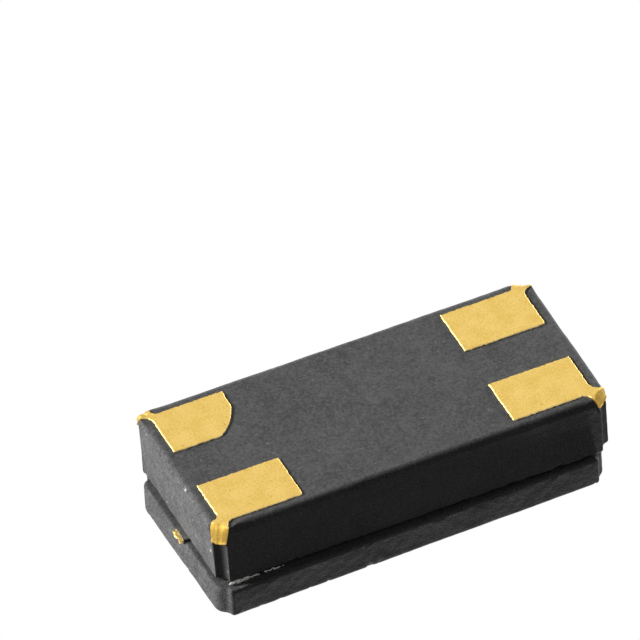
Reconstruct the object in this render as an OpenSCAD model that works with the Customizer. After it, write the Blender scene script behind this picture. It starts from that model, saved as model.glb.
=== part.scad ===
/* [Package] */
// Length of the ceramic base
body_l = 8; // [7.5:0.1:8.6]
// Width of the ceramic base and lid
body_w = 3.68; // [3.4:0.02:3.9]
// Radius of the quarter-round notch down each corner
notch_r = 0.23; // [0.18:0.01:0.3]
// Radius of the soft edges round the face that carries the pads
face_edge_r = 0.12; // [0.04:0.01:0.14]
// Radius of the edges at the seam and round the lid
edge_r = 0.06; // [0.03:0.01:0.1]

/* [Base] */
// Thickness of the floor layer under the cavity
floor_t = 0.3; // [0.25:0.01:0.4]
// Height of the wall above the floor
wall_h = 1.02; // [0.85:0.01:1.1]
// Thickness of the wall round the cavity
wall_t = 0.62; // [0.5:0.01:0.7]
// Radius of the cavity's upright corners
cavity_r = 0.2; // [0.1:0.01:0.3]
// Length of the shelf that carries the crystal
shelf_l = 1; // [0.8:0.05:1.3]
// Height of the shelf above the floor
shelf_h = 0.45; // [0.4:0.01:0.5]

/* [Lid and seal] */
// Thickness of the lid
lid_t = 0.62; // [0.4:0.01:0.8]
// How much shorter the lid is than the base
lid_short = 0.09; // [0:0.01:0.12]
// How far the lid sits off the base along its length
lid_shift_x = -0.12; // [-0.14:0.01:0.14]
// How far the lid sits off the base across its width
lid_shift_y = 0.14; // [0:0.01:0.18]
// Degrees that the lid is turned on the base
lid_turn = -1; // [-1.5:0.1:1.5]
// Thickness of the glass between base and lid
glass_t = 0.04; // [0.03:0.005:0.08]
// How far the glass stays back from the outer edges
glass_inset = 0.09; // [0.08:0.01:0.15]
// How far the glass stays back from the cavity
glass_back = 0.05; // [0.02:0.01:0.1]
// Length of the glass that spilled out of the seam
spill_l = 1.1; // [0.4:0.1:2]
// How far the spilled glass stands out of the base's side
spill_out = 0.05; // [0.02:0.01:0.08]

/* [Terminals] */
// Thickness of the plated metal of a pad
plate_t = 0.025; // [0.015:0.005:0.04]
// Thickness of the plated metal that lines a corner notch
lining_t = 0.04; // [0.02:0.01:0.06]
// Length of a solder pad
pad_l = 1.63; // [1.4:0.01:2]
// Length of the index pad
index_pad_l = 1.45; // [1.3:0.01:1.9]
// Width of a solder pad
pad_w = 1.09; // [0.9:0.01:1.2]
// Gap from a pad to the end of the base
pad_gap_x = 0.24; // [0.16:0.01:0.26]
// Gap from a pad to the side of the base
pad_gap_y = 0.24; // [0.16:0.01:0.26]
// Width of metal left beside the notch at a pad's neck
neck_w = 0.08; // [0.04:0.01:0.12]
// Gap from the neck's thin outer end to the end and side of the base
neck_end = 0.02; // [0.01:0.01:0.04]
// Length taken off the index pad's long side by its round cut
index_cut_l = 0.49; // [0.3:0.01:0.7]
// Width taken off the index pad's short side by its round cut
index_cut_w = 0.68; // [0.3:0.01:0.8]
// How far the round cut bulges past a straight one
index_bulge = 0.07; // [0.02:0.01:0.15]
// Width of the plating tab on the end of the base
tab_w = 0.4; // [0.2:0.01:0.5]
// Height of the plating tab
tab_h = 0.075; // [0.04:0.005:0.1]
// How far the plating tab stands out of the end
tab_out = 0.09; // [0.03:0.01:0.12]
// How far the plating tab runs into the wall
tab_in = 0.3; // [0.2:0.01:0.4]
// Place of the plating tab across the end
tab_y = 0.24; // [-0.5:0.01:0.5]

/* [Inner tracks] */
// Thickness of the metallised tracks and lands
track_t = 0.02; // [0.01:0.005:0.03]
// Width of a track
track_w = 0.16; // [0.1:0.01:0.2]
// Width of the land round a corner notch
land_w = 0.12; // [0.1:0.01:0.15]
// Gap from buried metal to the outside of the ceramic
bury_gap = 0.1; // [0.05:0.01:0.12]
// Gap from the end of the base to the middle of a track's cross run
track_gap = 0.3; // [0.28:0.01:0.35]
// Gap between a corner track and the cavity wall
track_wall_gap = 0.14; // [0.05:0.01:0.2]
// Radius of a filled via
via_r = 0.07; // [0.05:0.01:0.08]
// Length of a shelf land
shelf_pad_l = 0.7; // [0.5:0.05:0.75]
// Width of a shelf land
shelf_pad_w = 0.6; // [0.5:0.05:0.7]

/* [Crystal] */
// Length of the quartz blank
blank_l = 4.8; // [4:0.1:5.2]
// Width of the quartz blank
blank_w = 1.7; // [1.4:0.05:2]
// Thickness of the quartz blank
blank_t = 0.1; // [0.06:0.01:0.16]
// Gap from the end of the cavity to the blank
blank_gap = 0.2; // [0.15:0.01:0.3]
// Distance between the two places that hold the blank
hold_pitch = 1; // [0.9:0.05:1.1]
// Thickness of the metal film on the blank
film_t = 0.01; // [0.01:0.005:0.02]
// Length of the electrode's field
electrode_l = 2.4; // [1.8:0.1:2.8]
// Width of the electrode's field
electrode_w = 1.1; // [0.8:0.05:1.3]
// Width of the electrode's lead
lead_w = 0.4; // [0.3:0.05:0.5]
// Radius of an adhesive dot
glue_r = 0.22; // [0.15:0.01:0.25]
// Thickness of an adhesive dot
glue_t = 0.04; // [0.02:0.01:0.06]

/* [Chip] */
// Length of the chip
die_l = 1.3; // [1.1:0.05:1.5]
// Width of the chip
die_w = 1.1; // [0.9:0.05:1.2]
// Thickness of the chip
die_t = 0.2; // [0.15:0.01:0.25]
// Distance of the chip from the middle of the package
die_x = 0.9; // [0.7:0.05:1.2]
// Thickness of the adhesive under the chip
attach_t = 0.02; // [0.01:0.005:0.03]
// Metal left showing round the chip
die_margin = 0.1; // [0.05:0.01:0.12]

/* [Bond wires] */
// Diameter of a bond wire
wire_d = 0.03; // [0.02:0.005:0.04]
// Diameter of the ball that starts a wire
ball_d = 0.08; // [0.06:0.01:0.1]
// Height of the ball that starts a wire
ball_h = 0.02; // [0.015:0.005:0.03]
// Radius of a wire's bend
bend_r = 0.08; // [0.06:0.01:0.09]
// Distance of the bond places from the chip's edge
bond_inset = 0.1; // [0.08:0.01:0.15]
// Gap from the chip's metal field to the crystal's bond fingers
finger_gap = 0.15; // [0.1:0.01:0.2]

/* [Hidden] */
$fn = 48;
cut = 0.1;
floor_z = plate_t + floor_t;
track_z = floor_z + track_t;
shelf_z = floor_z + shelf_h;
base_z = floor_z + wall_h;
lid_z = base_z + glass_t;
lid_l = body_l - lid_short;
cavity_l = body_l - 2 * wall_t;
cavity_w = body_w - 2 * wall_t;
shelf_x = -cavity_l / 2 + shelf_l / 2;
corner_track_y = cavity_w / 2 - track_wall_gap - track_w / 2;
hold_y = hold_pitch / 2;
film_z = shelf_z + track_t + glue_t;
blank_z = film_z + film_t;
blank_x = -cavity_l / 2 + blank_gap;
field_x = blank_x + (blank_l + shelf_l - blank_gap - electrode_l) / 2;
attach_z = track_z;
die_z = attach_z + attach_t;
die_top = die_z + die_t;
bond_y = die_w / 2 - bond_inset;
near_bond_x = die_x - die_l / 2 + 2 * bond_inset;
far_bond_x = die_x + die_l / 2 - 2 * bond_inset;
crystal_bond_x = die_x - die_l / 2 + bond_inset;
crystal_finger_x = die_x - die_l / 2 - die_margin - finger_gap;

// Puts what is drawn at the corner (0, 0) of a block l long, with the block towards +X and +Y, at one of its corners
module at_corner(side_x, side_y, l = body_l) {
    mirror([side_x > 0 ? 1 : 0, 0, 0])
        mirror([0, side_y > 0 ? 1 : 0, 0])
            translate([-l / 2, -body_w / 2, 0])
                children();
}

// Plan of a block l long, drawn in from its sides by inset, with its four round notches
module notched_plan(l, inset) {
    difference() {
        square([l - 2 * inset, body_w - 2 * inset], center = true);
        for (side_x = [-1, 1])
            for (side_y = [-1, 1])
                at_corner(side_x, side_y, l)
                    circle(r = notch_r);
    }
}

module round_rectangle(l, w, r) {
    square([l - 2 * r, w], center = true);
    square([l, w - 2 * r], center = true);
    for (side_x = [-1, 1])
        for (side_y = [-1, 1])
            translate([side_x * (l / 2 - r), side_y * (w / 2 - r)])
                circle(r = r);
}

// What an edge along X loses when it is rounded to r, with the block towards +Y and +Z
module edge_waste(l, r) {
    difference() {
        translate([-l / 2, -cut, -cut])
            cube([l, r + cut, r + cut]);
        translate([-l / 2 - cut, r, r])
            rotate([0, 90, 0])
                cylinder(r = r, h = l + 2 * cut);
    }
}

// What the four edges round the lower face of a block l long lose
module face_waste(l, r) {
    for (side = [0, 1]) {
        mirror([0, side, 0])
            translate([0, -body_w / 2, 0])
                edge_waste(l, r);
        mirror([side, 0, 0])
            translate([-l / 2, 0, 0])
                rotate([0, 0, -90])
                    edge_waste(body_w, r);
    }
}

// Notched block of fired ceramic, with the edges of its lower and upper faces rounded
module ceramic_block(l, h, low_r, high_r) {
    difference() {
        linear_extrude(h)
            notched_plan(l, 0);
        face_waste(l, low_r);
        translate([0, 0, h])
            mirror([0, 0, 1])
                face_waste(l, high_r);
    }
}

// Open space of the cavity, with the crystal shelf left standing at one end
module cavity() {
    difference() {
        translate([0, 0, floor_z])
            linear_extrude(wall_h + cut)
                round_rectangle(cavity_l, cavity_w, cavity_r);
        translate([-cavity_l / 2 - cut, -cavity_w / 2 - cut, floor_z - cut])
            cube([shelf_l + cut, cavity_w + 2 * cut, shelf_h + cut]);
    }
}

// The base's ceramic on the outside, without its cavity
module ceramic_body() {
    translate([0, 0, plate_t])
        ceramic_block(body_l, base_z - plate_t, face_edge_r, edge_r);
}

module ceramic_base() {
    color("#3a3a3b")
        difference() {
            ceramic_body();
            cavity();
            tab_bar();
            for (side_x = [-1, 1])
                for (side_y = [-1, 1])
                    corner_track(side_x, side_y, 0);
            for (side_y = [-1, 1]) {
                crystal_track(side_y);
                shelf_via(side_y);
            }
        }
}

// Puts the lid, or its plan, where it was sealed, a little off the base and turned on it
module as_sealed() {
    translate([lid_shift_x, lid_shift_y])
        rotate(lid_turn)
            children();
}

module ceramic_lid() {
    color("#414142")
        translate([0, 0, lid_z])
            as_sealed()
                ceramic_block(lid_l, lid_t, edge_r, edge_r);
}

// Glass that ran out of the seam beside one corner, tapering away along the side
module glass_spill() {
    start_x = -body_l / 2 + notch_r;
    root_y = body_w / 2 - 2 * glass_inset;
    linear_extrude(glass_t)
        polygon([
            [start_x, root_y],
            [start_x, body_w / 2],
            [start_x + spill_l / 8, body_w / 2 + spill_out],
            [start_x + spill_l / 3, body_w / 2 + spill_out / 2],
            [start_x + spill_l, root_y]
        ]);
}

// Glass wherever lid and base face each other, with the spill beside one corner
module glass_seal() {
    color("#8f918e")
        translate([0, 0, base_z]) {
            linear_extrude(glass_t)
                difference() {
                    intersection() {
                        notched_plan(body_l, glass_inset);
                        as_sealed()
                            notched_plan(lid_l, glass_inset);
                    }
                    round_rectangle(cavity_l + 2 * glass_back, cavity_w + 2 * glass_back, cavity_r + glass_back);
                }
            glass_spill();
        }
}

// Solder pad of length l and its neck round the corner notch, with the package corner at (0, 0)
module pad_plan(l) {
    neck = notch_r + neck_w;
    difference() {
        intersection() {
            union() {
                translate([pad_gap_x, pad_gap_y])
                    square([l, pad_w]);
                difference() {
                    square([neck + pad_gap_y, neck + pad_gap_x]);
                    translate([0, neck + pad_gap_x])
                        circle(r = pad_gap_x);
                    translate([neck + pad_gap_y, 0])
                        circle(r = pad_gap_y);
                }
            }
            translate([neck_end, neck_end])
                square([body_l / 2, body_w / 2]);
        }
        circle(r = notch_r - lining_t);
    }
}

// Index pad: its inner corner is cut off along an arc that bulges towards the corner
module index_pad_plan() {
    corner = [pad_gap_x + index_pad_l, pad_gap_y + pad_w];
    long_end = corner - [index_cut_l, 0];
    short_end = corner - [0, index_cut_w];
    chord = norm(long_end - short_end);
    arc_r = chord * chord / (8 * index_bulge) + index_bulge / 2;
    outward = [index_cut_w, index_cut_l] / chord;
    arc_middle = (long_end + short_end) / 2 - (arc_r - index_bulge) * outward;
    difference() {
        pad_plan(index_pad_l);
        difference() {
            polygon([long_end, long_end + [0, cut], corner + [cut, cut], short_end + [cut, 0], short_end]);
            translate(arc_middle)
                circle(r = arc_r, $fn = 180);
        }
    }
}

// Plated lining of a corner notch, as high as the floor layer and the track it meets
module notch_lining() {
    linear_extrude(track_z)
        intersection() {
            square(notch_r);
            difference() {
                circle(r = notch_r);
                circle(r = notch_r - lining_t);
            }
        }
}

// Pad and notch lining in one layer of metal that follows the ceramic, also over its soft edges
module terminal(side_x, side_y) {
    color("#e6c06a")
        at_corner(side_x, side_y)
            difference() {
                union() {
                    linear_extrude(plate_t + face_edge_r)
                        children();
                    notch_lining();
                }
                translate([body_l / 2, body_w / 2, 0]) {
                    face_waste(body_l, face_edge_r);
                    ceramic_body();
                }
            }
}

module pad_enable() {
    terminal(-1, -1)
        index_pad_plan();
}

module pad_ground() {
    terminal(1, -1)
        pad_plan(pad_l);
}

module pad_output() {
    terminal(1, 1)
        pad_plan(pad_l);
}

module pad_supply() {
    terminal(-1, 1)
        pad_plan(pad_l);
}

module tab_bar() {
    translate([-body_l / 2 - tab_out, tab_y - tab_w / 2, base_z - tab_h])
        cube([tab_out + tab_in, tab_w, tab_h]);
}

module plating_tab() {
    color("#e6c06a")
        tab_bar();
}

// Track on the floor layer, from a corner notch in under the wall and along the cavity to its bond finger
module corner_track(side_x, side_y, finger_x) {
    run_y = body_w / 2 - corner_track_y;
    run_l = body_l / 2 + side_x * -finger_x;
    translate([0, 0, floor_z])
        linear_extrude(track_t)
            at_corner(side_x, side_y)
                difference() {
                    union() {
                        intersection() {
                            circle(r = notch_r + land_w);
                            translate([bury_gap, bury_gap])
                                square(notch_r + land_w);
                        }
                        translate([track_gap - track_w / 2, notch_r / 2])
                            square([track_w, run_y - notch_r / 2]);
                        translate([track_gap - track_w / 2, run_y - track_w / 2])
                            square([run_l - track_gap + track_w, track_w]);
                    }
                    circle(r = notch_r);
                }
}

// Field of metal under the chip, joined to the ground track
module die_field() {
    field_l = die_l + 2 * die_margin;
    field_w = die_w + 2 * die_margin;
    translate([die_x - field_l / 2, -field_w / 2, floor_z])
        cube([field_l, field_w, track_t]);
    translate([far_bond_x - track_w / 2, -corner_track_y, floor_z])
        cube([track_w, corner_track_y, track_t]);
}

module track_enable() {
    color("#d9b566")
        corner_track(-1, -1, near_bond_x);
}

module track_ground() {
    color("#d9b566") {
        corner_track(1, -1, far_bond_x);
        die_field();
    }
}

module track_output() {
    color("#d9b566")
        corner_track(1, 1, far_bond_x);
}

module track_supply() {
    color("#d9b566")
        corner_track(-1, 1, near_bond_x);
}

// Track on the floor layer, from under a shelf land to its bond finger
module crystal_track(side_y) {
    start_x = shelf_x - track_w / 2;
    translate([start_x, side_y * hold_y - track_w / 2, floor_z])
        cube([crystal_finger_x - start_x, track_w, track_t]);
}

module shelf_via(side_y) {
    translate([shelf_x, side_y * hold_y, track_z])
        cylinder(r = via_r, h = shelf_z - track_z);
}

module shelf_pad(side_y) {
    translate([shelf_x - shelf_pad_l / 2, side_y * hold_y - shelf_pad_w / 2, shelf_z])
        cube([shelf_pad_l, shelf_pad_w, track_t]);
}

module adhesive(side_y) {
    translate([shelf_x, side_y * hold_y, shelf_z + track_t])
        cylinder(r = glue_r, h = glue_t);
}

module track_crystal_a() {
    color("#d9b566")
        crystal_track(-1);
}

module track_crystal_b() {
    color("#d9b566")
        crystal_track(1);
}

module via_a() {
    color("#9a9a9c")
        shelf_via(-1);
}

module via_b() {
    color("#9a9a9c")
        shelf_via(1);
}

module shelf_pad_a() {
    color("#d9b566")
        shelf_pad(-1);
}

module shelf_pad_b() {
    color("#d9b566")
        shelf_pad(1);
}

module adhesive_a() {
    color("#b4b4b0")
        adhesive(-1);
}

module adhesive_b() {
    color("#b4b4b0")
        adhesive(1);
}

module quartz_blank() {
    color("#dfe8ea", 0.5)
        translate([blank_x, -blank_w / 2, blank_z])
            cube([blank_l, blank_w, blank_t]);
}

// Electrode field and the lead that runs from it to the held end, beside one long edge
module electrode_plan(side_y) {
    translate([field_x, -electrode_w / 2])
        square([electrode_l, electrode_w]);
    translate([blank_x, side_y * hold_y - lead_w / 2])
        square([field_x - blank_x + lead_w, lead_w]);
}

// Film on the upper face, with its lead turned down over the blank's end to the adhesive below
module electrode_top() {
    wrap_l = shelf_x - blank_x + glue_r;
    color("#c9ccd0") {
        translate([0, 0, blank_z + blank_t])
            linear_extrude(film_t)
                electrode_plan(1);
        translate([blank_x - film_t, hold_y - lead_w / 2, film_z])
            cube([film_t, lead_w, blank_t + 2 * film_t]);
        translate([blank_x - film_t, hold_y - lead_w / 2, film_z])
            cube([wrap_l + film_t, lead_w, film_t]);
    }
}

module electrode_bottom() {
    color("#c9ccd0")
        translate([0, 0, film_z])
            linear_extrude(film_t)
                difference() {
                    electrode_plan(-1);
                    translate([blank_x, 0])
                        square([field_x - blank_x - lead_w, blank_w]);
                }
}

module die_attach() {
    color("#8d8d88")
        translate([die_x - die_l / 2, -die_w / 2, attach_z])
            cube([die_l, die_w, attach_t]);
}

module oscillator_die() {
    color("#56606e")
        translate([die_x - die_l / 2, -die_w / 2, die_z])
            cube([die_l, die_w, die_t]);
}

// Wire from inside its ball on the chip at start, up round a bend and straight down to its finger at finish
module bond_wire(start, finish) {
    run = finish - start;
    reach = norm(run);
    drop = die_top + ball_h / 2 - track_z;
    span = norm([reach - bend_r, drop]);
    line_l = sqrt(span * span - bend_r * bend_r);
    bend_end = acos(bend_r / span) - atan2(drop, reach - bend_r);
    color("#e8c766")
        translate([start[0], start[1], die_top])
            rotate([0, 0, atan2(run[1], run[0])]) {
                cylinder(d = ball_d, h = ball_h);
                difference() {
                    translate([bend_r, 0, ball_h / 2])
                        rotate([90, 0, 0])
                            rotate([0, 0, bend_end]) {
                                rotate_extrude(angle = 180 - bend_end)
                                    translate([bend_r, 0])
                                        circle(d = wire_d);
                                translate([bend_r, 0, 0])
                                    rotate([90, 0, 0])
                                        cylinder(d = wire_d, h = line_l + wire_d);
                            }
                    translate([0, -ball_d, track_z - die_top - ball_d])
                        cube([2 * reach, 2 * ball_d, ball_d]);
                }
            }
}

module bond_wire_enable() {
    bond_wire([near_bond_x, -bond_y], [near_bond_x, -corner_track_y]);
}

module bond_wire_ground() {
    bond_wire([far_bond_x, -bond_y], [far_bond_x, -corner_track_y]);
}

module bond_wire_output() {
    bond_wire([far_bond_x, bond_y], [far_bond_x, corner_track_y]);
}

module bond_wire_supply() {
    bond_wire([near_bond_x, bond_y], [near_bond_x, corner_track_y]);
}

module bond_wire_crystal_a() {
    bond_wire([crystal_bond_x, -hold_y / 2], [crystal_finger_x - track_w / 2, -hold_y]);
}

module bond_wire_crystal_b() {
    bond_wire([crystal_bond_x, hold_y / 2], [crystal_finger_x - track_w / 2, hold_y]);
}

ceramic_base();
ceramic_lid();
glass_seal();
pad_enable();
pad_ground();
pad_output();
pad_supply();
plating_tab();
track_enable();
track_ground();
track_output();
track_supply();
track_crystal_a();
track_crystal_b();
via_a();
via_b();
shelf_pad_a();
shelf_pad_b();
adhesive_a();
adhesive_b();
quartz_blank();
electrode_top();
electrode_bottom();
die_attach();
oscillator_die();
bond_wire_enable();
bond_wire_ground();
bond_wire_output();
bond_wire_supply();
bond_wire_crystal_a();
bond_wire_crystal_b();
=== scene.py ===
"""Surface-mount crystal oscillator: fired ceramic package with plated corner terminals."""
import math

import bmesh
import bpy
from mathutils import Matrix, Vector, noise


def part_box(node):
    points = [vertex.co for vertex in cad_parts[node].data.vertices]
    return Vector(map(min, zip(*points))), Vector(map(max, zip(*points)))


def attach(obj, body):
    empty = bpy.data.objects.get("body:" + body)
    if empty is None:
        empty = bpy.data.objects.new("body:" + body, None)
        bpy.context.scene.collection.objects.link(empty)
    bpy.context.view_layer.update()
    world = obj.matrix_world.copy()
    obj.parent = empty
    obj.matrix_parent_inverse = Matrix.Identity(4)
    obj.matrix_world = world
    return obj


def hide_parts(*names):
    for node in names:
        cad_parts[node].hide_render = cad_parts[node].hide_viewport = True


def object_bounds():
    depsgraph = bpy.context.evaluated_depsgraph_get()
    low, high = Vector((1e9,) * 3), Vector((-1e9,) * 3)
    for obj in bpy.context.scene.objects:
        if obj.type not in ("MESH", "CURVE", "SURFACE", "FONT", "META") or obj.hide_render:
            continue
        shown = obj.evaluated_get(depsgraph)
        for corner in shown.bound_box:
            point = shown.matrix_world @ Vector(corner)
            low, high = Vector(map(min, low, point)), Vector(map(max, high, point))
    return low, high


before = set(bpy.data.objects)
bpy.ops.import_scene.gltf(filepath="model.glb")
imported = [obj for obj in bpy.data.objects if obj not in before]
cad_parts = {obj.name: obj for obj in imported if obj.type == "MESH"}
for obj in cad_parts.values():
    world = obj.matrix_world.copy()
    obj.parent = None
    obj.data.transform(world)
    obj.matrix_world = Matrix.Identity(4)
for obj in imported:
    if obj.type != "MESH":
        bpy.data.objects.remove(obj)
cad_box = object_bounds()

# One millimetre in metres
MM = 0.001

# Every size below is in millimetres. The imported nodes' boxes give the rest.

# The ceramic base: its corner notches, its edges and the cavity in it
NOTCH_R = 0.2
CORNER_R = 0.045
FACE_EDGE_R = 0.14
FAR_EDGE_R = 0.1
EDGE_R = 0.06
END_LEAN = 0.04
WALL_T = 0.62
CAVITY_R = 0.2
SHELF_L = 1
SHELF_H = 0.45
SHELF_EDGE_R = 0.012
FLOOR_T = 0.3

# The notches at the pad face, each worn its own way: the notch's radius, then the radii of its end
# lip and its side lip. The heights and lengths after them say how far the wear reaches.
CORNERS = ((1, 1), (-1, 1), (-1, -1), (1, -1))
MOUTHS = {
    (1, 1): (0.26, 0.05, 0.1),
    (-1, 1): (0.25, 0.14, 0.05),
    (-1, -1): (0.19, 0.05, 0.2),
    (1, -1): (0.25, 0.03, 0.3),
}
MOUTH_ROUNDING = 0.1
MOUTH_DEPTH = 0.14
WORN_HEIGHTS = (0.02, 0.4)
MOUTH_REACH = (0.32, 0.62)

# The lid: how much shorter than the base, its turn in degrees, and its notch and lip radii
LID_SHORT = 0.09
LID_TURN = -1
LID_CORNER = (0.2, 0.26, 0.08)

# Snapped and pressed ceramic: how rough it is, its long and short waves, and its edge chips
SNAP_DEPTH = 0.008
LONG_WAVE = 0.9
SHORT_WAVE = 0.16
CHIP_BAND = 0.12
CHIP_SIZE = 0.2

# Pale chips on the end face: place across, height over the pads and size
END_CHIPS = ((0.44, 0.065, 0.05), (1.52, 0.7, 0.03), (1.54, 0.95, 0.025))

# The solder pads and their plating
PAD_L = 1.63
INDEX_PAD_L = 1.45
PAD_W = 1.09
PAD_GAP_X = 0.24
PAD_GAP_Y = 0.24
INDEX_CUT_L = 0.49
INDEX_CUT_W = 0.68
INDEX_BULGE = 0.07
PLATE_T = 0.025
LINING_T = 0.04
LINING_LIP = 0.02
PLATED_CURVE = 0.02
RIM_WAVE = 0.012
RIM_REACH = 0.06
SUNK = 0.008

# The tie bar's stub: how it sits off its node, how much of it is bare, and how rough it is
TAB_SHIFT = (-0.04, -0.01, 0.06)
TAB_BARE = 0.045
TAB_ROUGH = (0.02, 0.008, 0.008)

# The glass in the seam: how far it stands back, more so halfway up, and the crumbs that ran out
GLASS_INSET = 0.09
GLASS_OVERLAP = 0.002
GLASS_HOLLOW = (-0.01, 0.008, 0.014, 0.008, -0.01)
SPILL_START = 0.27
SPILL_L = 1.02
CRUMB_SIZES = (0.058, 0.024)
CRUMB_SHAPE = (1.15, 0.5, 0.55)

# How finely the meshes are cut: lengths along an outline, the gap that closes, and counts of steps
OUTLINE_STEP = 0.03
PAD_STEP = 0.02
WELD = 0.0001
EDGE_STEPS = 8
BASE_STEPS = 32
LID_STEPS = 14
MOUTH_STEPS = 10
LINING_STEPS = 14
TAB_CUTS = 13
CRUMBS = 56

# How many strips of a rounded edge look like the face next to it
BASE_FACE_STRIPS = 3
LID_FACE_STRIPS = 4
FLAT_STRIPS = 3

# Material slots of the base and the lid, of a terminal, of the tie bar's stub and of the glass
FACE, SIDE, SHADED_NOTCH, LIT_LONG_SIDE = 0, 1, 2, 2
FLAT, SHADED_LINING, HIGHLIGHT_RIM = 0, 1, 2
BARE, DARK_BACK = 0, 1
BAND, CRUMB = 0, 1


# ---------------------------------------------------------------- small helpers

def box_mm(name):
    """A node's lowest and highest corners in millimetres."""
    low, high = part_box(name)
    return Vector(low) / MM, Vector(high) / MM


def rough(point, size, layers=2):
    """Smooth random height from -1 to 1 with lumps of the given size in millimetres."""
    return noise.fractal(point / size, 1.0, 2.0, layers)


def ease(value, low, high):
    """Goes smoothly from 0 at low to 1 at high."""
    t = min(1, max(0, (value - low) / (high - low)))
    return t * t * (3 - 2 * t)


def between(a, b, share):
    """The value that lies a share of the way from a to b."""
    return a + (b - a) * share


# ---------------------------------------------------------------- outlines

def arc(centre, radius, start, stop, count, hollow=False):
    """Points and outward directions along an arc. A hollow arc has its material outside."""
    found = []
    for i in range(count + 1):
        angle = between(start, stop, i / count)
        way = Vector((math.cos(angle), math.sin(angle)))
        found.append((Vector(centre) + radius * way, -way if hollow else way))
    return found


def corner_run(notch, end_lip, side_lip, fine=1):
    """One corner, from the end face over a lip, round the notch and over a lip to the long side.

    Its points are measured inwards from the package corner, and come with their outward directions.
    """
    end_reach = math.sqrt((notch + end_lip) ** 2 - end_lip ** 2)
    side_reach = math.sqrt((notch + side_lip) ** 2 - side_lip ** 2)
    end_swing = math.atan2(end_reach, end_lip)
    side_swing = math.atan2(side_reach, side_lip)
    end_turn = arc((end_lip, end_reach), end_lip, math.pi, math.pi + end_swing, 4 * fine)
    hollow = arc((0, 0), notch, end_swing, math.pi / 2 - side_swing, 8 * fine, hollow=True)
    side_turn = arc((side_reach, side_lip), side_lip,
                    1.5 * math.pi - side_swing, 1.5 * math.pi, 4 * fine)
    return end_turn + hollow[1:] + side_turn[1:]


def lip_inset(sides, inwards):
    """How far a notch's edge is rounded in at the pad face, at a place measured from the corner."""
    _, end_lip, side_lip = MOUTHS[sides]
    share = ease(inwards.x / (inwards.x + inwards.y), 0.25, 0.75)
    return min(MOUTH_ROUNDING, between(end_lip, side_lip, share))


def corner_point(low, high, side_x, side_y):
    """The corner of a box's footprint on the given sides."""
    return Vector((high.x if side_x > 0 else low.x, high.y if side_y > 0 else low.y))


def placed_run(run, corner, side_x, side_y):
    """A corner's run turned to one of the four corners, always anticlockwise."""
    flip = Vector((side_x, side_y))
    turned = [(corner - p * flip, -n * flip) for p, n in run]
    return turned if side_x * side_y > 0 else turned[::-1]


def notched_outline(low, high, radii):
    """Anticlockwise outline of the package. radii gives the notch and lip radii of each corner."""
    runs = [placed_run(corner_run(*radii(sides)), corner_point(low, high, *sides), *sides)
            for sides in CORNERS]
    outline = []
    for k, turned in enumerate(runs):
        end, (ahead, out) = turned[-1][0], runs[(k + 1) % 4][0]
        span = high.y - low.y if k % 2 else high.x - low.x
        count = math.ceil(span / OUTLINE_STEP)
        outline += turned
        outline += [(end.lerp(ahead, i / count), out) for i in range(1, count)]
    return outline


def from_corner(point, low, high):
    """The sides of the corner nearest to a point, and the point measured inwards from it."""
    away = point - (low + high).xy / 2
    sides = (1 if away.x > 0 else -1, 1 if away.y > 0 else -1)
    inwards = corner_point(low, high, *sides) - point
    return sides, Vector((inwards.x * sides[0], inwards.y * sides[1]))


# ---------------------------------------------------------------- surfaces

def ring(outline, insets, heights):
    """The outline drawn in by an inset and lifted to a height, point by point."""
    return [Vector((p.x - n.x * inset, p.y - n.y * inset, height))
            for (p, n), inset, height in zip(outline, insets, heights)]


def block_rings(low, high, corner_radii, lower_edge, upper, rises):
    """Outlines of a notched block from its flat lower face, up its side and over its upper edge.

    corner_radii gives a corner's notch and lip radii at a height over the lower face. lower_edge
    gives how far in and how far up the lower edge is rounded at a point, upper is the upper edge's
    radius, and rises is the count of steps up the side.
    """
    def outline_at(rise):
        return notched_outline(low, high, lambda sides: corner_radii(sides, rise))

    bends = [math.pi / 2 * k / EDGE_STEPS for k in range(EDGE_STEPS + 1)]
    tall = high.z - low.z
    start = outline_at(0)
    edges = [lower_edge(*from_corner(p, low, high), n) for p, n in start]
    count = len(start)
    reach = max(up for _, up in edges)
    rings = []
    for bend in bends:
        rise = 1 - math.cos(bend)
        rings.append(ring(outline_at(reach * rise),
                          [inset * (1 - math.sin(bend)) for inset, _ in edges],
                          [low.z + up * rise for _, up in edges]))
    for k in range(1, rises):
        # The steps are closer together near the lower face, where the notches change most
        share = (k / rises) ** 1.3
        rings.append(ring(outline_at(between(reach, tall, share)), [0] * count,
                          [between(low.z + up, high.z - upper, share) for _, up in edges]))
    last = outline_at(tall)
    upper_inset = min(upper, *corner_radii((1, 1), tall)[1:])
    for bend in bends:
        rings.append(ring(last, [upper_inset * (1 - math.cos(bend))] * count,
                          [high.z - upper * (1 - math.sin(bend))] * count))
    return start, rings


def snapped(rings, outline, low_z, high_z, low_chip, high_chip, seed, lean=0):
    """Roughens a block's side as snapped ceramic: waves, grit, edge chips and a leaning end."""
    # Each block takes its roughness from another place in the same noise
    shift = Vector((seed * 7.3, seed * 3.1, seed * 5.7))
    for loop in rings:
        for i, point in enumerate(loop):
            out = outline[i][1]
            at = point + shift
            wave = SNAP_DEPTH * (rough(at, LONG_WAVE) + 0.45 * rough(at, SHORT_WAVE) - 0.6)
            chip = (low_chip * (1 - ease(point.z - low_z, 0, CHIP_BAND))
                    + high_chip * (1 - ease(high_z - point.z, 0, CHIP_BAND)))
            push = wave - chip * ease(rough(at, CHIP_SIZE, 3), 0.3, 0.6)
            push -= lean * max(0, -out.x) * (point.z - low_z) / (high_z - low_z)
            loop[i] = Vector((point.x + out.x * push, point.y + out.y * push, point.z))


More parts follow.
